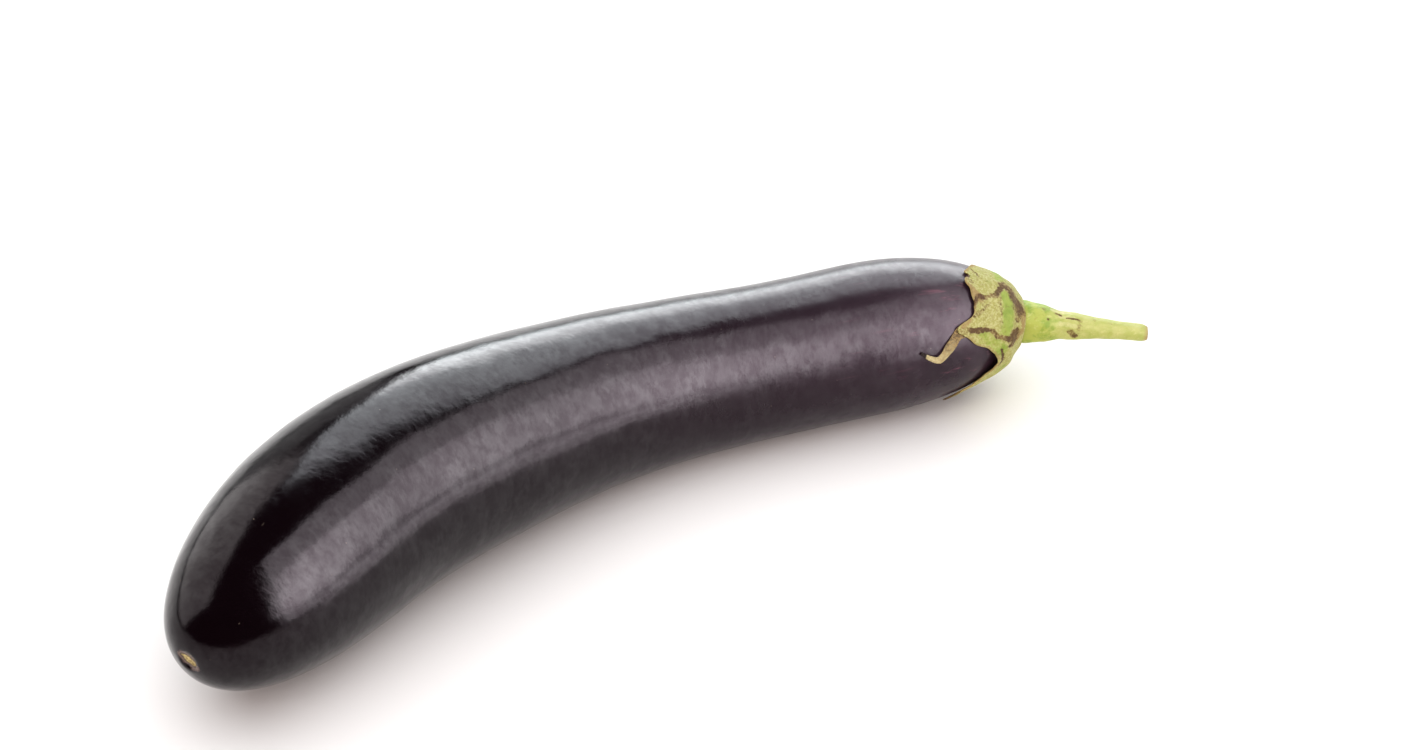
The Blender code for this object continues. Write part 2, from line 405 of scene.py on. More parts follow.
def leaf_point(share, turn):
    """A point of the leaf, from the shoulder (share 0) to its edge (share 1)."""
    back = SHOULDER_BACK + (reach_at(turn) - SHOULDER_BACK) * share
    place = on_skin(back * MM, turn, 0)
    height = grown(back, LEAF_HEIGHTS)
    ribbed = max(near_turn(turn, middle, 6) for middle in LOBE_MIDDLES)
    height += MIDRIB * ribbed * math.sin(math.pi * share)
    crumple = 0.26 * ripple(place, 0.0050, 6) + 0.12 * ripple(place, 0.0021, 8)
    height += crumple * min(share * 4, 1)
    height += CURL * share**6 * (1 + 1.6 * ripple(place, 0.0045, 9))
    return on_skin(back * MM, turn, height * MM)


print("the collar has", len(COLLAR), "rings, the widest", round(2 * COLLAR[-1][0], 1), "mm across")

# %% Model the calyx
CALYX_AROUND = 144
LEAF_ROWS = 12
LEAF_THICKNESS = 0.0005

bpy.ops.object.select_all(action="DESELECT")
facing = seat_out.to_track_quat("Z", "Y").to_euler()
bpy.ops.mesh.primitive_circle_add(
    vertices=CALYX_AROUND, radius=COLLAR[0][0] * MM, location=seat, rotation=facing
)
calyx = bpy.context.object
calyx.name = "calyx_leaf"
bpy.ops.object.transform_apply(location=True, rotation=True, scale=True)
open_mesh(calyx, "SELECT")
for _ in range(len(COLLAR) + LEAF_ROWS - 1):
    bpy.ops.mesh.extrude_region_move(TRANSFORM_OT_translate={"value": -seat_out * MM})
    bpy.ops.transform.resize(value=(1.1, 1.1, 1.1), center_override=seat)
close_mesh()
calyx_turns = [where(v.co)[0] for v in calyx.data.vertices[:CALYX_AROUND]]
for i, vertex in enumerate(calyx.data.vertices):
    row, turn = i // CALYX_AROUND, calyx_turns[i % CALYX_AROUND]
    if row < len(COLLAR):
        vertex.co = collar_point(row, turn)
    else:
        vertex.co = leaf_point((row - len(COLLAR)) / (LEAF_ROWS - 1), turn)
face_outwards(calyx)
finish_with(calyx, "SOLIDIFY", thickness=LEAF_THICKNESS, offset=-1.0)
subdivide(calyx)
smooth(calyx)
print("calyx:", len(calyx.data.polygons), "faces")

# %% [markdown]
# ## The dry ribbon
#
# One lobe has shrivelled to a thin ribbon that lies on the skin with a kink near its end. It is a flat
# grid laid along a path, and Solidify gives it its thickness. A curve with a flat bevel would do too,
# but its edges are harder to make ragged.

# %% The ribbon's path: turn in degrees, reach in mm behind the seat, half-width in mm
RIBBON = (
    (59.5, 16.0, 2.3), (61.0, 17.8, 2.0), (63.0, 19.1, 1.25), (66.3, 20.1, 1.15), (69.2, 20.9, 1.2),
    (71.6, 21.5, 1.15), (73.8, 22.2, 1.0), (76.0, 23.0, 0.8), (78.0, 24.0, 0.75), (77.7, 25.0, 0.6),
    (76.9, 25.9, 0.5), (76.1, 26.7, 0.42), (75.0, 27.5, 0.3), (74.2, 28.2, 0.22), (73.4, 29.0, 0.1),
)
RIBBON_LIFTS = ((0, 0.2), (0.25, 0.75), (0.55, 1.0), (0.8, 0.8), (1, 0.35))  # shares of the full lift
RIBBON_LIFT = 0.0015  # the ribbon stands at most this far off the skin
RIBBON_TILT = 0.0005  # and its upper edge stands higher than the lower one
UPPER_SIDE = -1  # the side of the grid that ends up on top
RIBBON_CUP = 0.00022
RIBBON_SPACING = [i / (len(RIBBON) - 1) for i in range(len(RIBBON))]
LOOK_ALONG = 0.04  # how far before and after a place its direction is measured


def ribbon_row(share):
    """The turn, the reach and the half-width this far along the ribbon."""
    share = min(max(share, 0), 1)
    return [float(np.interp(share, RIBBON_SPACING, column)) for column in zip(*RIBBON)]


def under_ribbon(share):
    """The place on the skin below the ribbon's middle."""
    turn, back, _ = ribbon_row(share)
    return on_skin(back * MM, turn, 0)


def ribbon_place(share, across):
    """A point of the ribbon: share runs along it, across from -1 to 1."""
    _, back, half = ribbon_row(share)
    middle = under_ribbon(share)
    before = under_ribbon(share - LOOK_ALONG)
    after = under_ribbon(share + LOOK_ALONG)
    out = (middle - (seat - seat_out * back * MM)).normalized()
    sideways = (after - before).cross(out).normalized()
    ragged = 1 + 0.22 * ripple(middle + sideways * across * MM, 0.0022, 11)
    cupped = RIBBON_CUP * (across * across + ripple(middle, 0.005, 12))
    lift = grown(share, RIBBON_LIFTS) * (RIBBON_LIFT + RIBBON_TILT * across * UPPER_SIDE) + cupped
    return middle + sideways * across * half * ragged * MM + out * lift


ribbon_ends = (under_ribbon(0) - under_ribbon(1)).length
print("the ribbon's ends are", round(ribbon_ends / MM, 1), "mm apart")

# %% Model the ribbon
RIBBON_STEPS = 56
RIBBON_ACROSS = 5
RIBBON_THICKNESS = 0.0004

bpy.ops.object.select_all(action="DESELECT")
bpy.ops.mesh.primitive_grid_add(x_subdivisions=RIBBON_ACROSS - 1, y_subdivisions=RIBBON_STEPS - 1, size=1)
ribbon = bpy.context.object
ribbon.name = "calyx_ribbon"
ribbon_share = [vertex.co.y + 0.5 for vertex in ribbon.data.vertices]
for vertex, share in zip(ribbon.data.vertices, ribbon_share):
    vertex.co = ribbon_place(share, vertex.co.x * 2)
store(ribbon, "ribbon", [Vector((share, 0, 0)) for share in ribbon_share])
finish_with(ribbon, "SOLIDIFY", thickness=RIBBON_THICKNESS, offset=-1.0)
subdivide(ribbon)
face_outwards(ribbon)
smooth(ribbon)
print("ribbon:", len(ribbon.data.polygons), "faces")

# %% [markdown]
# ## The stem
#
# The stem is a tapering stalk with ribs that come from the lobes and a cut end that has dried and
# rounded. It is a circle extruded step by step along a curve, and its rings are then given their
# sizes. Where it goes is measured from the solid stem: from the seat, through the middle of its
# points, to its far end.

# %% Measure where the stem goes
stem_points = [v.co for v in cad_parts["stem"].data.vertices]
stem_length = max((p - seat).length for p in stem_points)


def stem_middle(near, far):
    """The middle of the solid stem's points between two distances from the seat."""
    inside = [p for p in stem_points if near <= (p - seat).length <= far]
    return sum(inside, Vector()) / len(inside)


CUT_END = 0.0008  # points this near the far end belong to the cut
stem_tip = stem_middle(stem_length - CUT_END, stem_length)
stem_half = stem_middle(stem_length * 0.42, stem_length * 0.58)
stem_way = (stem_tip - seat).normalized()
print("the stem is", round((stem_tip - seat).length / MM, 1), "mm long")

# %% Extrude the stem along its curve
STEM_AROUND = 40
STEM_RINGS = 34
STEM_START = -0.0030  # it starts inside the calyx's collar
STEM_SAG = 0.0004  # how far its middle hangs below a straight line
STEM_MORE = 0.0004  # the rounded end stands this far past the solid's
TUBE_RADIUS = 0.006  # before it is given its taper
CUT_INSETS = ((0.0010, 0.0003), (0.0012, -0.0001), (0.0012, -0.0002))  # width and depth at the end


def stem_place(share):
    """The stem's own axis: a curve from the seat through its middle to its tip."""
    tip = stem_tip + stem_way * STEM_MORE
    bend = stem_half * 2 - (seat + tip) / 2 - UP * 2 * STEM_SAG
    return seat * (1 - share) ** 2 + bend * 2 * share * (1 - share) + tip * share**2


first_ring = STEM_START / stem_length
stem_rings = [first_ring + (1 - first_ring) * i / STEM_RINGS for i in range(STEM_RINGS + 1)]
bpy.ops.object.select_all(action="DESELECT")
bpy.ops.mesh.primitive_circle_add(
    vertices=STEM_AROUND, radius=TUBE_RADIUS, location=stem_place(first_ring), rotation=facing
)
stem = bpy.context.object
stem.name = "stem_stalk"
bpy.ops.object.transform_apply(location=True, rotation=True, scale=True)
open_mesh(stem, "SELECT")
bpy.ops.mesh.edge_face_add()
for near, far in zip(stem_rings, stem_rings[1:]):
    step = stem_place(far) - stem_place(near)
    bpy.ops.mesh.extrude_region_move(TRANSFORM_OT_translate={"value": step})
for thickness, depth in CUT_INSETS:
    bpy.ops.mesh.inset(thickness=thickness, depth=depth)
bpy.ops.mesh.poke()
close_mesh()
print("the stem is a tube of", len(stem_rings), "rings")

# %% Give the stem its taper, its ribs and its knobs
STEM_RADII = (  # shares of its length, radii in mm
    (0.000, 5.85), (0.090, 5.45), (0.160, 5.10), (0.230, 4.40), (0.285, 3.80), (0.345, 3.80),
    (0.425, 3.68), (0.485, 3.30), (0.620, 2.85), (0.800, 2.42), (0.940, 2.36), (0.980, 2.15),
    (1.0, 1.7),
)
RIB_TWIST = 20  # degrees that the ribs turn from the seat to the tip
RIB_WIDTH = 16  # degrees
RIB_HEIGHT = 0.07  # as a share of the radius, at the seat

for i, vertex in enumerate(stem.data.vertices):
    share = stem_rings[min(i // STEM_AROUND, STEM_RINGS)]
    middle = stem_place(share)
    off = vertex.co - middle
    off_turn, _ = where(seat + off)
    rib = max(near_turn(off_turn, m + RIB_TWIST * share, RIB_WIDTH) for m in LOBE_MIDDLES)
    width = grown(share, STEM_RADII) * MM / TUBE_RADIUS
    knobbly = 0.045 * ripple(vertex.co, 0.0055, 13) + 0.03 * ripple(vertex.co, 0.0022, 14)
    swell = 1 + knobbly + RIB_HEIGHT * (rib - 0.35) * (1 - 0.5 * share)
    outward = off - seat_out * off.dot(seat_out)
    vertex.co = middle + outward * width * swell + (off - outward)
face_outwards(stem)
subdivide(stem)
smooth(stem)
print("stem:", len(stem.data.polygons), "faces")

# %% [markdown]
# ## Where the calyx and the stem are brown
#
# Dry edges, cracks and corky strips make a calyx look real, and noise alone doesn't put them where
# they grow. So they are drawn as strokes, which are paths with a width. Each point of the finished
# mesh gets three amounts: how brown it is, how fresh and green, and a third. On the calyx the third is
# how dry and tan; on the stem it is a painted highlight, pale patches on its top. This is vertex
# painting, with the brush moved by a list of places.

# %% Strokes on the calyx: width in mm, strength, then places as (turn, reach)
BROWN_STROKES = (
    (3.6, 1.0, ((8, 6.4), (10, 5.0), (15, 3.9), (22, 3.0), (31, 2.1), (37, 0.9))),
    (2.8, 0.75, ((18, 4.6), (28, 3.3), (38, 2.6), (50, 2.3))),
    (2.8, 1.0, ((68, 3.5), (75, 3.1), (82, 3.6))),
    (1.5, 1.0, ((39, 15.0), (35, 14.2), (32.5, 13.8), (31.7, 12.0), (27, 9.4), (16, 7.4), (9, 6.2))),
    (1.4, 1.0, ((61, 15.6), (60.6, 12.9), (61, 10.9), (64, 9.3), (69, 7.7), (74, 5.2), (76, 3.6))),
    (1.0, 0.6, ((49, 14.4), (44, 12.6), (39.7, 11.2), (38, 10.8))),
    (0.8, 0.45, ((22, 8.4), (34, 7.7), (46, 7.5), (56, 7.4), (66, 6.4))),
    (0.8, 0.8, ((2, 15.4), (4, 14.4), (10, 13.6))),
    (0.9, 0.55, ((17, 16.2), (19, 15.2))),
    (0.7, 1.0, ((8.5, 17.6), (10, 16.4), (13, 16.2), (15, 17.0))),
    (2.0, 0.65, ((60, 16.4), (61, 18.2), (62, 20.0))),
    (0.8, 0.8, ((84, 7.2), (92, 6.6), (98, 6.6), (104, 7.6))),
    (2.2, 1.0, ((126, 18.0), (128, 23.5))),
    (1.2, 0.8, ((206, 14.0), (203, 21.0))),
    (1.2, 0.8, ((280, 14.0), (283, 20.0))),
    (0.8, 0.8, ((160, 8.6), (168, 6.0), (172, 3.6))),
    (0.8, 0.8, ((243, 8.6), (240, 6.0), (236, 3.6))),
    (0.8, 0.8, ((326, 8.6), (330, 6.0), (335, 4.0))),
)
print(len(BROWN_STROKES), "brown strokes on the calyx")

# %% Tan and green strokes on the calyx, in the same form
TAN_STROKES = (
    (2.6, 0.9, ((25, 16.4), (31, 15.0), (33, 13.6))),
    (1.6, 0.8, ((-9, 15.2), (1, 16.9), (8, 17.6))),
    (1.3, 0.7, ((15, 17.2), (21, 17.2), (27, 16.2), (31, 15.5),
                (39, 15.0), (46, 14.8), (52, 15.8), (57, 18.0))),
    (1.1, 0.6, ((66, 16.4), (69, 15.2), (73, 13.8), (76, 12.2), (79, 10.6), (85, 8.8), (92, 7.8))),
    (1.4, 0.7, ((98, 7.8), (104, 9.6), (110, 11.6), (117, 14.0), (124, 18.0))),
    (1.3, 0.8, ((42, 0.8), (50, 1.0), (58, 1.0), (66, 0.9), (78, 1.6), (88, 2.6))),
)
GREEN_STROKES = (
    (3.2, 1.0, ((22, 6.3), (34, 5.4), (46, 5.4), (58, 5.6), (64, 6.2))),
    (3.6, 0.7, ((68, 12.0), (72, 10.0), (78, 8.4), (84, 6.8))),
    (3.0, 0.8, ((-24, 9.0), (-10, 8.0), (0, 8.0))),
    (2.4, 0.6, ((112, 4.0), (118, 8.0))),
    (3.4, 0.7, ((150, 4.0), (190, 6.0), (230, 5.0), (270, 6.0), (310, 5.0))),
)
print(len(TAN_STROKES), "tan ones and", len(GREEN_STROKES), "green ones")

# %% [markdown]
# ## The brush
#
# How far a point is from a stroke is easiest to tell on a flat sheet, so the calyx is rolled out: its
# turn becomes a distance across the sheet. A stroke is full in its middle and fades out on both sides.

# %% A brush for flat sheets
FULL_WITHIN, GONE_BEYOND = 0.25, 0.75  # distances from the stroke's middle, in widths


def to_path(places, path):
    """How far each place is from the nearest part of a path."""
    nearest = np.full(len(places), np.inf)
    for start, end in zip(path, path[1:]):
        start, run = np.array(start), np.array(end) - np.array(start)
        share = np.clip((places - start) @ run / (run @ run), 0, 1)
        off = np.linalg.norm(places - start - share[:, None] * run, axis=1)
        nearest = np.minimum(nearest, off)
    return nearest


def painted(places, strokes):
    """How strongly the strokes cover each place. Places and paths are flat, in mm."""
    amount = np.zeros(len(places))
    for width, strength, path in strokes:
        share = to_path(places, path) / width
        edge = np.clip((GONE_BEYOND - share) / (GONE_BEYOND - FULL_WITHIN), 0, 1)
        amount = np.maximum(amount, strength * edge * edge * (3 - 2 * edge))
    return amount


def rolled_out(strokes, first_turn, mm_per_degree):
    """The same strokes with their turns as distances from the sheet's edge."""
    return [
        (width, strength, [((turn - first_turn) % 360 * mm_per_degree, far) for turn, far in path])
        for width, strength, path in strokes
    ]


print("2 mm from a path:", to_path(np.array([[1.0, 2.0]]), ((0, 0), (3, 0))))

# %% Paint the points of the calyx
CALYX_CUT = -34  # the turn at which the calyx is cut open to be rolled out
CALYX_ROUND = 0.27  # about how many mm one degree of turn is, half-way back on the calyx


def calyx_place(point):
    """A point of the calyx rolled out flat, with a wobble so that strokes aren't straight."""
    turn, back = where(point)
    wobbles = [
        0.45 * ripple(point, 0.0024, seed) + 0.30 * ripple(point, 0.0008, seed)
        for seed in (21, 23)
    ]
    return ((turn - CALYX_CUT) % 360 * CALYX_ROUND + wobbles[0], back / MM + wobbles[1])


calyx_flat = np.array([calyx_place(v.co) for v in calyx.data.vertices])
calyx_groups = [
    rolled_out(group, CALYX_CUT, CALYX_ROUND)
    for group in (BROWN_STROKES, GREEN_STROKES, TAN_STROKES)
]
calyx_paint = np.stack([painted(calyx_flat, group) for group in calyx_groups], axis=1)
store(calyx, "paint", calyx_paint.tolist())
print("the calyx is brown over", round(float((calyx_paint[:, 0] > 0.5).mean()) * 100), "% of its points")

# %% Strokes on the stem: width in mm, strength, then places as (turn, mm from the seat)
STEM_BROWN = (
    (0.8, 0.9, ((15, 7.7), (16, 9.0))),
    (0.65, 1.0, ((26, 10.6), (28, 13.6))),
    (1.2, 0.6, ((8, 4.0), (9, 4.2))),
    (0.6, 0.8, ((42, 5.5), (43, 5.8))),
    (2.2, 0.9, ((84, 12.0), (104, 13.2))),
    (2.4, 0.45, ((34, 13.8), (58, 14.6), (84, 13.4))),
    (0.6, 0.5, ((20, 22.0), (22, 23.0))),
    (1.0, 0.6, ((200, 9.0), (204, 12.0))),
    (0.8, 0.6, ((290, 15.0), (292, 18.0))),
    (1.0, 0.6, ((70, 33.3), (110, 33.6))),
)
STEM_GREEN = (
    (0.8, 0.9, ((70, 1.4), (72, 3.8))),
    (0.6, 0.7, ((72, 7.2), (73, 9.8))),
    (6.0, 0.8, ((40, 0.0), (60, 3.0))),
    (4.0, 0.6, ((100, 2.0), (110, 8.0))),
    (6.0, 0.6, ((200, 0.0), (260, 3.0), (320, 1.0))),
)
# Painted highlight: pale strokes along the top of the stem, where the light falls on it.
STEM_HIGHLIGHT_STROKES = (
    (1.4, 0.55, ((20, 8.8), (22, 12.5))),
    (2.0, 0.6, ((0, 7.0), (-10, 11.0))),
    (1.7, 0.5, ((50, 9.0), (56, 13.0))),
)
print(len(STEM_BROWN), "brown strokes on the stem")

# %% Paint the points of the stem
STEM_CUT = -90  # the turn at which the stem is cut open to be rolled out
STEM_ROUND = 0.075  # about how many mm one degree of turn is on the stem


def stem_flat_place(point):
    """A point of the stem rolled out flat."""
    far = (point - seat).dot(stem_way)
    turn, _ = where(seat + point - stem_place(far / stem_length))
    wobble = 0.25 * ripple(point, 0.0018, 25)
    return ((turn - STEM_CUT) % 360 * STEM_ROUND + wobble, far / MM + wobble)


stem_flat = np.array([stem_flat_place(v.co) for v in stem.data.vertices])
stem_groups = [
    rolled_out(group, STEM_CUT, STEM_ROUND)
    for group in (STEM_BROWN, STEM_GREEN, STEM_HIGHLIGHT_STROKES)
]
stem_paint = np.stack([painted(stem_flat, group) for group in stem_groups], axis=1)
store(stem, "paint", stem_paint.tolist())
store(stem, "stalk", [Vector((far * MM / stem_length, 0, 0)) for _, far in stem_flat])
print("the stem is brown over", round(float((stem_paint[:, 0] > 0.5).mean()) * 100), "% of its points")

# %% [markdown]
# ## Writing shader maths as Python
#
# A formula in a material is a chain of Math nodes, which is hard to read node by node. So one small
# class wraps the output of a node, and its + - and * add the Math node. A second class is a material.

# %% A class for wires


class Wire:
    """The output of a node, which can be used in sums."""

    def __init__(self, tree, socket):
        self.tree = tree
        self.socket = socket

    def maths(self, operation, first, second=0.0, clamp=False):
        """A new Math node of wires or plain numbers."""
        made = self.tree.nodes.new("ShaderNodeMath")
        made.operation = operation
        made.use_clamp = clamp
        for slot, value in zip(made.inputs, (first, second)):
            if isinstance(value, Wire):
                self.tree.links.new(value.socket, slot)
            else:
                slot.default_value = value
        return Wire(self.tree, made.outputs[0])

    def __add__(self, other):
        return self.maths("ADD", self, other)

    def __sub__(self, other):
        return self.maths("SUBTRACT", self, other)

    def __rsub__(self, other):
        return self.maths("SUBTRACT", other, self)

    def __mul__(self, other):
        return self.maths("MULTIPLY", self, other)

    __radd__ = __add__
    __rmul__ = __mul__

    def at_most_one(self):
        return self.maths("ADD", self, 0.0, clamp=True)

    def step(self, start, end):
        """0 where this is at start, 1 where it is at end, and eased between."""
        made = self.tree.nodes.new("ShaderNodeMapRange")
        made.interpolation_type = "SMOOTHSTEP"
        self.tree.links.new(self.socket, made.inputs["Value"])
        made.inputs["From Min"].default_value = start
        made.inputs["From Max"].default_value = end
        return Wire(self.tree, made.outputs["Result"])


# %% A class for finishes


class Finish:
    """One material, its Principled shader and the ways to add to it."""

    def __init__(self, name, **constants):
        self.material = bpy.data.materials.new(name)
        self.material.use_nodes = True
        self.tree = self.material.node_tree
        self.shader = self.tree.nodes["Principled BSDF"]
        for socket, value in constants.items():
            self.shader.inputs[socket.replace("_", " ")].default_value = value

    def node(self, kind, settings=None, output=0, **values):
        """A node of this kind. A socket is named with _ for a space, or as in0, in1 by its number."""
        made = self.tree.nodes.new("ShaderNode" + kind)
        for name, value in (settings or {}).items():
            setattr(made, name, value)
        for name, value in values.items():
            number = name[2:] if name.startswith("in") and name[2:].isdigit() else None
            socket = made.inputs[int(number)] if number else made.inputs[name.replace("_", " ")]
            if isinstance(value, Wire):
                self.tree.links.new(value.socket, socket)
            else:
                socket.default_value = value
        return Wire(self.tree, made.outputs[output])

    def feed(self, socket, wire):
        self.tree.links.new(wire.socket, self.shader.inputs[socket])

    def stored(self, name):
        return self.node("Attribute", {"attribute_name": name}, output="Vector")

    def parts(self, vector):
        """The three numbers of a vector."""
        split = self.node("SeparateXYZ", Vector=vector).socket.node
        return [Wire(self.tree, output) for output in split.outputs]

    def stretched(self, vector, x, y, z):
        return self.node("VectorMath", {"operation": "MULTIPLY"}, in0=vector, in1=(x, y, z))

    def noise(self, vector, scale, detail=3.0, roughness=0.5, distortion=0.0):
        return self.node(
            "TexNoise", None, "Fac", Vector=vector, Scale=scale, Detail=detail, Roughness=roughness,
            Distortion=distortion,
        )

    def spots(self, vector, scale):
        """How far each place is from the nearest of a scatter of points."""
        return self.node("TexVoronoi", None, "Distance", Vector=vector, Scale=scale)

    def blend(self, amount, first, second):
        """Two colours mixed by an amount from 0 to 1."""
        made = self.tree.nodes.new("ShaderNodeMix")
        made.data_type = "RGBA"
        for slot, value in ((0, amount), (6, first), (7, second)):
            if isinstance(value, Wire):
                self.tree.links.new(value.socket, made.inputs[slot])
            else:
                made.inputs[slot].default_value = value if slot == 0 else (*value, 1.0)
        return Wire(self.tree, made.outputs[2])

    def bump(self, height, strength, distance, below=None):
        """A relief, which may lie on top of the one below it."""
        sockets = {"Height": height, "Strength": strength, "Distance": distance}
        if below:
            sockets["Normal"] = below
        return self.node("Bump", None, "Normal", **sockets)

    def on(self, piece):
        piece.data.materials.append(self.material)


# %% [markdown]
# ## The skin's finish
#
# An eggplant's skin is nearly black, and what you see is what it reflects. So its material is mostly
# about gloss: smooth as lacquer at the rounded end, a little duller towards the calyx. Very fine
# wrinkles run across it and break up the edge of each reflection. They are too many to model, so they
# are bumps of three sizes, in the straightened coordinates that the skin carries.

# %% The skin's relief
RIPPLE_HEIGHT = 0.00010
CREASE_HEIGHT = 0.00004
WRINKLE_HEIGHT = 0.000034

peel = Finish(
    "eggplant_skin",
    Specular_IOR_Level=0.5,
    IOR=1.25,
    Coat_Roughness=0.16,
    Specular_Tint=(1.0, 0.86, 0.94, 1),
)
place = peel.stored("straight")
along, _, _ = peel.parts(place)
neck = along.step(0.30 * FRUIT_LENGTH, 1.0 * FRUIT_LENGTH)

wrinkles = peel.noise(peel.stretched(place, 1.0, 0.50, 0.50), 1050, 4.0, 0.62, 0.5)
grain = peel.noise(place, 2300, 3.0, 0.65)
creases = peel.noise(peel.stretched(place, 0.9, 0.6, 0.6), 420, 3.0, 0.6, 0.2)
ripples = peel.noise(peel.stretched(place, 0.5, 1.0, 1.0), 150, 2.0)
patchy = peel.noise(place, 160, 2.0, 0.5).step(0.30, 0.70)
bumped = peel.bump(ripples, 1.0, RIPPLE_HEIGHT)
bumped = peel.bump(creases * (0.5 + patchy), 1.0, CREASE_HEIGHT, bumped)
fine_relief = wrinkles * (1 - 0.6 * neck) + 0.55 * grain
bumped = peel.bump(fine_relief * (0.6 + 0.6 * patchy), 1.0, WRINKLE_HEIGHT, bumped)
peel.feed("Normal", bumped)
print("relief:", len(peel.tree.nodes), "nodes")

# %% [markdown]
# ## The skin's colours
#
# The black turns to a very dark purple towards the neck. Near the calyx it is cloudy with bloom and
# carries thin pink streaks. Pale specks and short scratches gather at the blossom end.

# %% The skin's colours
BLACK_PURPLE = (0.0022, 0.0007, 0.0014)
NECK_PURPLE = (0.0150, 0.0068, 0.0120)
BLOOM = (0.036, 0.019, 0.029)
PINK = (0.24, 0.08, 0.12)
SPECK = (0.42, 0.33, 0.25)

near_calyx = along.step(FRUIT_LENGTH - 0.075, FRUIT_LENGTH - 0.020)
clouding = peel.noise(peel.stretched(place, 0.6, 1.0, 1.0), 130, 3.0, 0.6)
streaks = peel.noise(peel.stretched(place, 0.09, 1.0, 1.0), 700, 3.0, 0.65, 0.2)
patches = peel.noise(peel.stretched(place, 0.5, 1.0, 1.0), 130, 2.0)
dark = peel.blend(neck, BLACK_PURPLE, NECK_PURPLE)
bloom = peel.blend(near_calyx * clouding.step(0.3, 0.75) * 0.5, dark, BLOOM)
pink = near_calyx * streaks.step(0.56, 0.74) * patches.step(0.42, 0.62)
purple = peel.blend(pink * 0.42, bloom, PINK)
specks = 1 - peel.spots(place, 210).step(0.013, 0.030)
specks = specks * (1 - 0.6 * along.step(0.020, 0.100))
scratches = 1 - peel.spots(peel.stretched(place, 0.35, 1.0, 0.8), 160).step(0.02, 0.05)
scratches = scratches * (1 - along.step(0.006, 0.040))
speckled = peel.blend((specks + 0.6 * scratches).at_most_one() * 0.8, purple, SPECK)
print("with its colours:", len(peel.tree.nodes), "nodes")

# %% [markdown]
# ## The scar, the gloss and the wax
#
# The flower left a corky scar with a ragged rim. It is dull, and so are the specks. Everything else
# shines under a thin, uneven film of wax: a coat whose weight varies, which mottles the reflections.

# %% The scar, the gloss and the wax
SCAR_BROWN = (0.16, 0.11, 0.03)
SCAR_STRAW = (0.55, 0.45, 0.20)
SCAR_RIM = (0.34, 0.24, 0.20)
SMOOTHEST = 0.125  # the roughness of the rounded end
WAX = 0.17  # the most that the film weighs

from_scar, _, _ = peel.parts(peel.stored("scar"))
scar_grain = peel.noise(place, 2600, 3.0, 0.6)
scar_colour = peel.blend(scar_grain.step(0.35, 0.65), SCAR_BROWN, SCAR_STRAW)
ragged = from_scar + (scar_grain - 0.5) * 0.5 + (peel.noise(place, 700, 2.0) - 0.5) * 0.9
in_scar = 1 - ragged.step(0.72, 0.98)
on_rim = ragged.step(0.85, 1.1) * (1 - ragged.step(1.15, 1.6))
coloured = peel.blend(in_scar, speckled, scar_colour)
coloured = peel.blend(on_rim * 0.35, coloured, SCAR_RIM)
peel.feed("Base Color", coloured)
gloss = SMOOTHEST + neck * 0.17 + (clouding - 0.5) * 0.08 + specks * 0.3 + in_scar * 0.5
peel.feed("Roughness", gloss)
film = (0.5 * creases + 0.3 * wrinkles + 0.2 * clouding).step(0.38, 0.62) * (0.6 + 0.6 * patchy)
peel.feed("Coat Weight", film * WAX)
peel.on(skin)
print("the whole skin:", len(peel.tree.nodes), "nodes")

# %% [markdown]
# ## The calyx's finish
#
# Fresh, the calyx is yellow-green, and it dries to cream, tan and brown. The three painted amounts say
# where. Noise is added to each amount before it becomes a mask, so a stroke ends in ragged patches
# and not in a clean line. Brown is drawn twice: a soft halo, and a dark core inside it. The calyx, the
# ribbon and the stem all start from one matt finish with a coarse noise and a fine one.

# %% The plant's colours, and a finish to start from
BROWN = (0.190, 0.105, 0.036)
DARK_BROWN = (0.062, 0.030, 0.012)
TAN = (0.30, 0.20, 0.075)
CREAM = (0.46, 0.44, 0.180)
GREEN = (0.29, 0.365, 0.060)
DEEP_GREEN = (0.20, 0.285, 0.036)


def leafy(name, roughness):
    """A matt plant surface and the noises that all of them use."""
    finish = Finish(name, Roughness=roughness, Specular_IOR_Level=0.08)
    here = finish.node("TexCoord", None, "Object")
    blotches = finish.noise(here, 300, 4.0, 0.6, 0.3)
    fine = finish.noise(here, 1500, 4.0, 0.65)
    return finish, here, blotches, fine


# %% Paint the calyx
DULL_CREAM = (0.32, 0.31, 0.080)
FLECK = (0.20, 0.145, 0.035)

leaf, here, blotches, fine = leafy("calyx_leaf", 0.55)
brown, fresh, dry = leaf.parts(leaf.stored("paint"))
green = leaf.blend(blotches.step(0.42, 0.66), GREEN, DEEP_GREEN)
cream = leaf.blend(fine.step(0.36, 0.60), CREAM, DULL_CREAM)
is_green = (fresh + (blotches - 0.5) * 1.9 + (fine - 0.5) * 0.5).step(0.1, 0.95)
colour = leaf.blend(is_green, cream, green)
is_tan = (dry + (fine - 0.5) * 1.0).step(0.15, 0.9)
colour = leaf.blend(is_tan * 0.9, colour, TAN)
halo = (brown + (fine - 0.5) * 1.7 + (blotches - 0.5) * 1.3).step(0.22, 0.95) * brown.step(0.0, 0.25)
colour = leaf.blend(halo * 0.85, colour, BROWN)
core = (brown + (fine - 0.5) * 1.7 + (blotches - 0.5) * 2.6).step(0.66, 1.10) * brown.step(0.2, 0.5)
colour = leaf.blend(core * 0.9, colour, DARK_BROWN)
flecks = leaf.noise(here, 1100, 3.0).step(0.57, 0.70)
colour = leaf.blend(flecks * 0.5, colour, FLECK)
leaf.feed("Base Color", colour)
relief = blotches * 0.8 + fine * 0.5 - halo * 0.4 - core * 0.3
leaf.feed("Normal", leaf.bump(relief, 0.9, 0.0006))
leaf.on(calyx)
print("calyx:", len(leaf.tree.nodes), "nodes")

# %% [markdown]
# ## The ribbon's finish
#
# The lobe's dry end has turned to straw. It is brown where it leaves the leaf, and its tip is black.

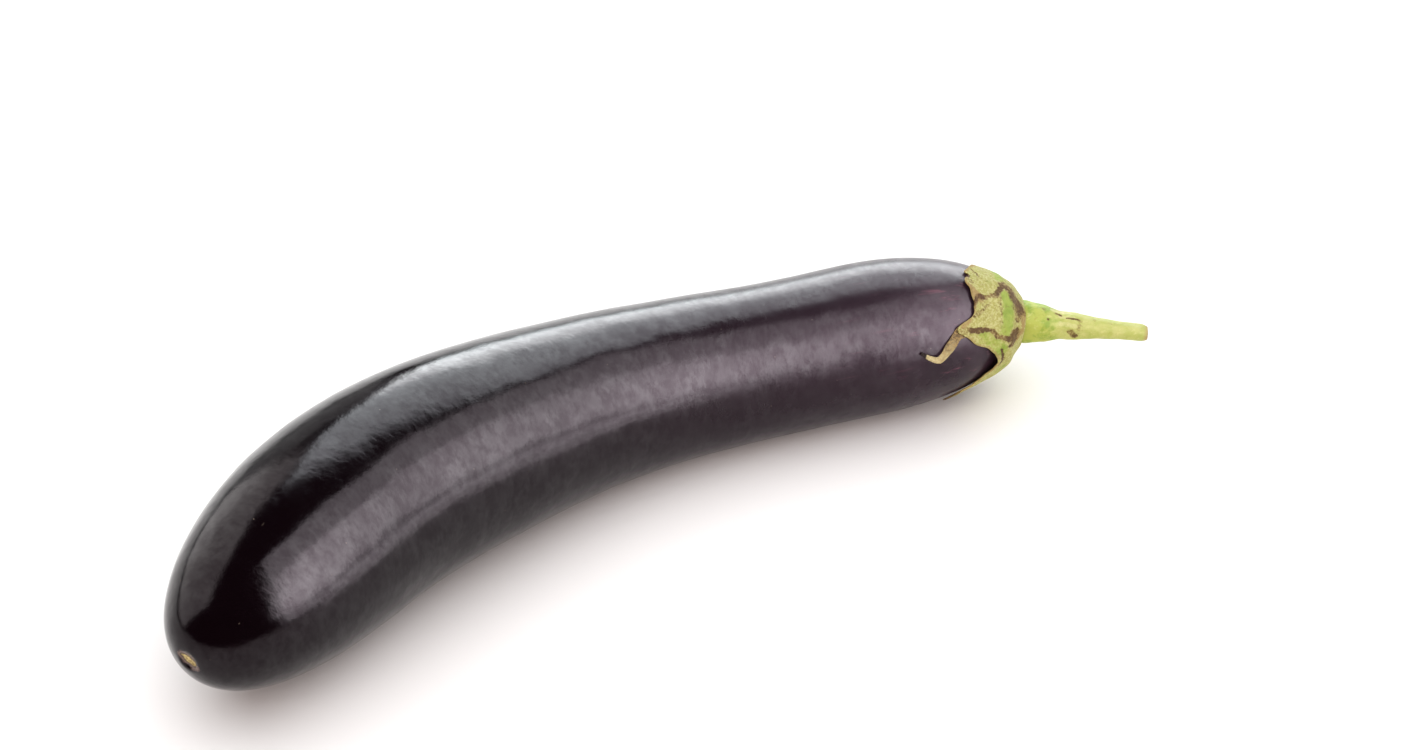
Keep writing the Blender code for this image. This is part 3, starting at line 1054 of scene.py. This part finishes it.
# %% Paint the ribbon
STRAW = (0.50, 0.43, 0.22)
DULL_STRAW = (0.34, 0.27, 0.13)
BLACK_TIP = (0.012, 0.007, 0.006)

straw_like, _, blotches, fine = leafy("dry_ribbon", 0.6)
out_along, _, _ = straw_like.parts(straw_like.stored("ribbon"))
straw = straw_like.blend(fine.step(0.35, 0.65), STRAW, DULL_STRAW)
mottled = straw_like.blend(fine.step(0.42, 0.6), DARK_BROWN, TAN)
near_leaf = (1 - out_along + (blotches - 0.5) * 0.9).step(0.42, 0.80)
colour = straw_like.blend(near_leaf * 0.9, straw, mottled)
at_tip = (out_along + (fine - 0.5) * 0.06).step(0.84, 0.88)
straw_like.feed("Base Color", straw_like.blend(at_tip, colour, BLACK_TIP))
straw_like.feed("Normal", straw_like.bump(fine + blotches * 0.5, 0.8, 0.0003))
straw_like.on(ribbon)
print("ribbon:", len(straw_like.tree.nodes), "nodes")

# %% [markdown]
# ## The stem's finish
#
# The stem is pale green, greener at its base, with fine lengthwise lines and small flecks. Its brown
# is done as on the calyx. Pale patches on its top are a painted highlight. The cut end is dry and tan.

# %% Paint the stem
PALE_GREEN, YELLOW_GREEN = (0.45, 0.465, 0.155), (0.36, 0.40, 0.095)
BASE_GREEN, BASE_DEEP = (0.37, 0.415, 0.080), (0.23, 0.325, 0.050)
# The colour of the painted highlight laid on the top of the stem.
PAINTED_HIGHLIGHT = (0.66, 0.60, 0.34)
PALE_LINE = (0.62, 0.60, 0.26)
STEM_FLECK = (0.26, 0.20, 0.04)
CUT_TAN = (0.34, 0.23, 0.10)

stalk, here, mottle, fine = leafy("stem_stalk", 0.45)
up_stem, _, _ = stalk.parts(stalk.stored("stalk"))
brown, fresh, pale = stalk.parts(stalk.stored("paint"))
lines = stalk.noise(stalk.stretched(here, 0.3, 1.0, 1.0), 1100, 3.0, 0.6)
yellowish = stalk.blend(mottle.step(0.35, 0.68), PALE_GREEN, YELLOW_GREEN)
greenish = stalk.blend(mottle.step(0.40, 0.62), BASE_GREEN, BASE_DEEP)
base = (1 - up_stem + (mottle - 0.5) * 0.5).step(0.62, 1.0)
colour = stalk.blend((base + fresh * 0.5).at_most_one(), yellowish, greenish)
# Painted highlight: the third painted amount lightens the top of the stem as if lit.
is_highlit = (pale + (fine - 0.5) * 0.8).step(0.2, 0.9)
colour = stalk.blend(is_highlit * 0.7, colour, PAINTED_HIGHLIGHT)
colour = stalk.blend(lines.step(0.55, 0.72) * 0.35, colour, PALE_LINE)
flecks = stalk.noise(stalk.stretched(here, 0.5, 1.0, 1.0), 620, 2.0).step(0.67, 0.75)
colour = stalk.blend(flecks * 0.5, colour, STEM_FLECK)
halo = (brown + (fine - 0.5) * 1.7 + (mottle - 0.5) * 1.0).step(0.20, 0.95) * brown.step(0.0, 0.25)
colour = stalk.blend(halo * 0.75, colour, BROWN)
core = (brown + (fine - 0.5) * 1.5 + (mottle - 0.5) * 1.8).step(0.60, 1.05) * brown.step(0.2, 0.5)
colour = stalk.blend(core * 0.85, colour, DARK_BROWN)
cut = (up_stem + (fine - 0.5) * 0.03).step(0.950, 0.992)
colour = stalk.blend(cut * 0.8, colour, CUT_TAN)
stalk.feed("Base Color", colour)
relief = lines + mottle * 0.8 + fine * 0.3 - brown * 0.6
stalk.feed("Normal", stalk.bump(relief, 0.8, 0.0003))
stalk.on(stem)
print("stem:", len(stalk.tree.nodes), "nodes")

# %% [markdown]
# ## Attach each piece to its body
#
# Every piece moves with a body of the imported model, and this one has a single body, called root. The
# solid that each piece stands for is hidden.

# %% Ride the body and hide the solid
for piece, node, slot in (
    (skin, "fruit", "skin"),
    (calyx, "calyx", "calyx"),
    (ribbon, "calyx", "calyx"),
    (stem, "stem", "stem"),
):
    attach(piece, "root")
    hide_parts(node)
    print(piece.name, "stands for", node)

# %% [markdown]
# ## Floor and camera
#
# The floor is a white sheet. The camera looks down through a long lens, so nothing looks stretched.

# %% Floor and camera
FLOOR_SIZE = 8
LENS, SENSOR = 85, 36  # mm
bpy.ops.object.select_all(action="DESELECT")
bpy.ops.mesh.primitive_plane_add(size=FLOOR_SIZE, location=(0, 0, 0))
floor = bpy.context.object
floor.name = "floor"
floor_finish = Finish(
    "floor_white", Base_Color=(0.86, 0.86, 0.86, 1), Roughness=0.7, Specular_IOR_Level=0.2
)
floor_finish.on(floor)

AIM = Vector((0.0226, 0.0013, 0.028))
CAMERA_TURN = -30.8  # degrees from looking along +Y
CAMERA_HEIGHT = 38.0  # degrees above the surface
CAMERA_DISTANCE = 0.8826


def seen_from(turn, height, distance):
    """A place at this distance from the aim. Turn 0 is behind the object, positive to the left."""
    plan = math.radians(90 + CAMERA_TURN + turn)
    level = math.radians(height)
    flat = Vector((math.cos(plan), math.sin(plan), 0)) * math.cos(level)
    return AIM + (flat + UP * math.sin(level)) * distance


camera_data = bpy.data.cameras.new("camera")
camera_data.lens = LENS
camera_data.sensor_width = SENSOR
camera = bpy.data.objects.new("camera", camera_data)
bpy.context.scene.collection.objects.link(camera)
camera.location = seen_from(180, CAMERA_HEIGHT, CAMERA_DISTANCE)
camera.rotation_euler = (AIM - camera.location).to_track_quat("-Z", "Y").to_euler()
bpy.context.scene.camera = camera
print("camera at", [round(x, 3) for x in camera.location])

# %% [markdown]
# ## Lights
#
# A glossy dark thing is lit by what it mirrors, so most lights here are shapes to be reflected. Three
# behind draw the bright band along its top. Three in front on the right draw the broad grey band; the
# one near the floor softens its lower edge. A panel on the left lifts the rounded end. All of these
# are only mirrored. Two more light the floor, the calyx and the stem, and are never mirrored.

# %% A softbox


def softbox(name, turn, height, distance, width, tall, brightness, colour=(1, 1, 1), grid=180, twist=0):
    """A rectangular light that faces the object. Brightness is what a mirror would show of its middle.

    A grid narrower than 180 degrees makes its edges dimmer than its middle, and a twist turns it away
    from the object about the vertical."""
    data = bpy.data.lights.new(name, "AREA")
    data.shape = "RECTANGLE"
    data.size = width
    data.size_y = tall
    data.spread = math.radians(grid)
    half = math.radians(min(grid, 179.9) / 2)
    narrowing = math.tan(half) / (math.tan(half) - half)
    data.energy = brightness * math.pi * width * tall / (narrowing if grid < 180 else 1)
    data.color = colour
    light = bpy.data.objects.new(name, data)
    bpy.context.scene.collection.objects.link(light)
    light.location = seen_from(turn, height, distance)
    facing_object = (AIM - light.location).to_track_quat("-Z", "Y").to_matrix()
    light.rotation_euler = (Matrix.Rotation(math.radians(twist), 3, "Z") @ facing_object).to_euler()
    return light


# %% Place the lights
ROSY = (1.0, 0.97, 1.0)

# name, turn, height, distance, width, tall, brightness, colour, grid, twist
for mirrored in (
    softbox("back_light", -10, 32, 1.2, 1.05, 1.30, 6.5, (0.90, 0.98, 1.0)),
    softbox("back_glow", -8, 19, 1.15, 0.9, 0.4, 4.2),
    softbox("back_left_glow", 38, 14, 1.4, 1.1, 0.62, 0.55),
    softbox("front_right", -97, 24, 0.72, 1.0, 0.62, 9.5, ROSY, 100, -31),
    softbox("front_right_low", -97, -1, 0.25, 0.42, 0.075, 4.6, ROSY),
    softbox("front_right_wide", -85, 39, 1.0, 1.55, 1.14, 6.8, (1.0, 0.98, 1.0), 140, -43),
    softbox("left_panel", 72, 30, 1.2, 1.6, 1.2, 2.3, (1.0, 0.97, 0.95)),
):
    mirrored.visible_diffuse = False
for scattered in (
    softbox("overhead", 0, 80, 1.5, 3.6, 3.6, 1.85),
    softbox("front_fill", 175, 26, 1.5, 2.8, 1.4, 2.0, (1.0, 0.84, 0.79)),
):
    scattered.visible_glossy = False

# %% The dim room around them
world = bpy.data.worlds.new("studio")
world.use_nodes = True
world.node_tree.nodes["Background"].inputs["Color"].default_value = (0.02, 0.02, 0.02, 1)
bpy.context.scene.world = world
bpy.context.scene.view_settings.view_transform = "Standard"
print("the room is", world.name)
